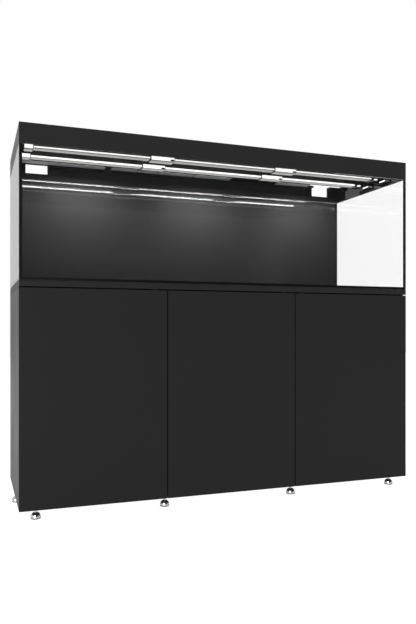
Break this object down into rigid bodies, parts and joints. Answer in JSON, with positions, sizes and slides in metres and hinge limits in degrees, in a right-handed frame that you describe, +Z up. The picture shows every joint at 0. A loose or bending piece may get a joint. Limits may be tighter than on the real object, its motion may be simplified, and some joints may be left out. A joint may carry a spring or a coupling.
{
  "type": "aquarium on stand",
  "caption": "Long glass aquarium with a black lidded light hood on a closed black cabinet with hinged doors and levelling feet.",
  "frame": {"origin": "on the floor under the centre of the whole object", "axes": "+X along the length, to the right seen from the front; +Y to the rear; +Z up"},
  "size_m": [1.818, 0.6, 1.55],
  "materials": {
    "glass": "clear polished float glass",
    "silicone": "smooth black silicone",
    "foam": "closed-cell foam",
    "background": "gloss black sheet",
    "door_lacquer": "satin black lacquered board",
    "board_laminate": "satin black laminate",
    "hood_plastic": "semi-gloss black",
    "chrome": "polished",
    "steel": "nickel plated",
    "black_metal": "black anodised",
    "holder_plastic": "white moulded",
    "plate_satin": "satin grey coated",
    "lamp_diffuser": "opal diffuser",
    "latch_plastic": "grey moulded",
    "plunger_plastic": "pale grey acetal"
  },
  "bodies": {
    "cabinet": {"back_panel": "board_laminate", "background_sheet": "background", "bottom_board": "board_laminate", "foam_mat": "foam", "foot_inserts": "steel", "hinge_arms": "steel", "hinge_plates": "steel", "hood_back_panel": "hood_plastic", "hood_cleats": "hood_plastic", "hood_crossbars": "black_metal", "hood_front_panel": "hood_plastic", "hood_hinge_lugs": "hood_plastic", "hood_hinge_pins": "steel", "hood_left_panel": "hood_plastic", "hood_plates": "plate_satin", "hood_rear_strip": "hood_plastic", "hood_right_panel": "hood_plastic", "lamp_front_left": "lamp_diffuser", "lamp_front_middle": "lamp_diffuser", "lamp_front_right": "lamp_diffuser", "lamp_holders": "holder_plastic", "lamp_rails": "black_metal", "lamp_rear_left": "lamp_diffuser", "lamp_rear_middle": "lamp_diffuser", "lamp_rear_right": "lamp_diffuser", "latch_housings": "latch_plastic", "left_divider": "board_laminate", "left_side_panel": "board_laminate", "right_divider": "board_laminate", "right_side_panel": "board_laminate", "shelf": "board_laminate", "silicone_seams": "silicone", "tank_back_pane": "glass", "tank_bottom_pane": "glass", "tank_front_pane": "glass", "tank_left_pane": "glass", "tank_right_pane": "glass", "top_board": "board_laminate"},
    "door_left": {"door_left": "door_lacquer", "hinge_cups_left": "steel"},
    "door_middle": {"door_middle": "door_lacquer", "hinge_cups_middle": "steel"},
    "door_right": {"door_right": "door_lacquer", "hinge_cups_right": "steel"},
    "latch_plunger_left": {"latch_plunger_left": "plunger_plastic"},
    "latch_plunger_middle": {"latch_plunger_middle": "plunger_plastic"},
    "latch_plunger_right": {"latch_plunger_right": "plunger_plastic"},
    "hood_lid_left": {"hood_lid_left": "hood_plastic"},
    "hood_lid_middle": {"hood_lid_middle": "hood_plastic"},
    "hood_lid_right": {"hood_lid_right": "hood_plastic"},
    "foot_front_inner_left": {"foot_front_inner_left": "chrome"},
    "foot_front_inner_right": {"foot_front_inner_right": "chrome"},
    "foot_front_outer_left": {"foot_front_outer_left": "chrome"},
    "foot_front_outer_right": {"foot_front_outer_right": "chrome"},
    "foot_rear_inner_left": {"foot_rear_inner_left": "chrome"},
    "foot_rear_inner_right": {"foot_rear_inner_right": "chrome"},
    "foot_rear_outer_left": {"foot_rear_outer_left": "chrome"},
    "foot_rear_outer_right": {"foot_rear_outer_right": "chrome"},
    "foot_side_left": {"foot_side_left": "chrome"},
    "foot_side_right": {"foot_side_right": "chrome"}
  },
  "joints": [
    {"name": "door_left_hinge", "type": "hinge", "parent": "cabinet", "child": "door_left", "pos_m": [-0.891, -0.292, 0.475], "axis": [0, 0, -1], "range_deg": [0, 100]},
    {"name": "door_middle_hinge", "type": "hinge", "parent": "cabinet", "child": "door_middle", "pos_m": [-0.289, -0.292, 0.475], "axis": [0, 0, -1], "range_deg": [0, 100]},
    {"name": "door_right_hinge", "type": "hinge", "parent": "cabinet", "child": "door_right", "pos_m": [0.891, -0.292, 0.475], "axis": [0, 0, 1], "range_deg": [0, 100]},
    {"name": "latch_plunger_left_slide", "type": "slide", "parent": "cabinet", "child": "latch_plunger_left", "axis": [0, 1, 0], "range_m": [0, 0.004], "stiffness_N_per_m": 300},
    {"name": "latch_plunger_middle_slide", "type": "slide", "parent": "cabinet", "child": "latch_plunger_middle", "axis": [0, 1, 0], "range_m": [0, 0.004], "stiffness_N_per_m": 300},
    {"name": "latch_plunger_right_slide", "type": "slide", "parent": "cabinet", "child": "latch_plunger_right", "axis": [0, 1, 0], "range_m": [0, 0.004], "stiffness_N_per_m": 300},
    {"name": "hood_lid_left_hinge", "type": "hinge", "parent": "cabinet", "child": "hood_lid_left", "pos_m": [-0.66475, 0.21, 1.545], "axis": [-1, 0, 0], "range_deg": [0, 95]},
    {"name": "hood_lid_middle_hinge", "type": "hinge", "parent": "cabinet", "child": "hood_lid_middle", "pos_m": [0, 0.21, 1.545], "axis": [-1, 0, 0], "range_deg": [0, 95]},
    {"name": "hood_lid_right_hinge", "type": "hinge", "parent": "cabinet", "child": "hood_lid_right", "pos_m": [0.66475, 0.21, 1.545], "axis": [-1, 0, 0], "range_deg": [0, 95]},
    {"name": "foot_front_inner_left_screw", "type": "slide", "parent": "cabinet", "child": "foot_front_inner_left", "axis": [0, 0, 1], "range_m": [-0.01, 0.007]},
    {"name": "foot_front_inner_right_screw", "type": "slide", "parent": "cabinet", "child": "foot_front_inner_right", "axis": [0, 0, 1], "range_m": [-0.01, 0.007]},
    {"name": "foot_front_outer_left_screw", "type": "slide", "parent": "cabinet", "child": "foot_front_outer_left", "axis": [0, 0, 1], "range_m": [-0.01, 0.007]},
    {"name": "foot_front_outer_right_screw", "type": "slide", "parent": "cabinet", "child": "foot_front_outer_right", "axis": [0, 0, 1], "range_m": [-0.01, 0.007]},
    {"name": "foot_rear_inner_left_screw", "type": "slide", "parent": "cabinet", "child": "foot_rear_inner_left", "axis": [0, 0, 1], "range_m": [-0.01, 0.007]},
    {"name": "foot_rear_inner_right_screw", "type": "slide", "parent": "cabinet", "child": "foot_rear_inner_right", "axis": [0, 0, 1], "range_m": [-0.01, 0.007]},
    {"name": "foot_rear_outer_left_screw", "type": "slide", "parent": "cabinet", "child": "foot_rear_outer_left", "axis": [0, 0, 1], "range_m": [-0.01, 0.007]},
    {"name": "foot_rear_outer_right_screw", "type": "slide", "parent": "cabinet", "child": "foot_rear_outer_right", "axis": [0, 0, 1], "range_m": [-0.01, 0.007]},
    {"name": "foot_side_left_screw", "type": "slide", "parent": "cabinet", "child": "foot_side_left", "axis": [0, 0, 1], "range_m": [-0.01, 0.007]},
    {"name": "foot_side_right_screw", "type": "slide", "parent": "cabinet", "child": "foot_side_right", "axis": [0, 0, 1], "range_m": [-0.01, 0.007]}
  ]
}
